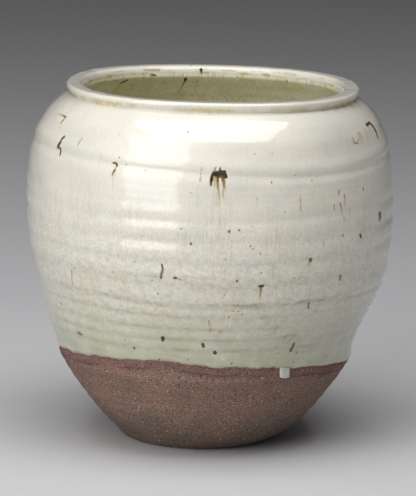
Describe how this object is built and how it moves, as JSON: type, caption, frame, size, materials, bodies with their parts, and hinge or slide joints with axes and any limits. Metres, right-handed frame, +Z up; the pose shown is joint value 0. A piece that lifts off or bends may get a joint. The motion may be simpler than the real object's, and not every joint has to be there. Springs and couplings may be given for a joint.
{
  "type": "stoneware jar",
  "caption": "Wide-shouldered thrown stoneware jar with a flat-lipped open mouth, glazed inside and down to a wavy line above its bare clay foot.",
  "frame": {"origin": "on the surface that the jar stands on, under the axis of its belly", "axes": "+Z up along the axis that the jar was thrown on; -Y is the front, where the glaze line comes up highest; +X is to the right seen from the front"},
  "size_m": [0.2568, 0.2566, 0.2493],
  "materials": {
    "bare_stoneware": "unglazed, gritty, matt reddish brown",
    "white_glaze": "creamy white, satin gloss, with iron specks",
    "liner_glaze": "grey green, satin gloss",
    "run_glaze": "thick creamy white, satin gloss"
  },
  "bodies": {
    "root": {"clay_body": "bare_stoneware", "outer_glaze": "white_glaze", "inner_glaze": "liner_glaze", "glaze_run": "run_glaze"}
  },
  "joints": []
}
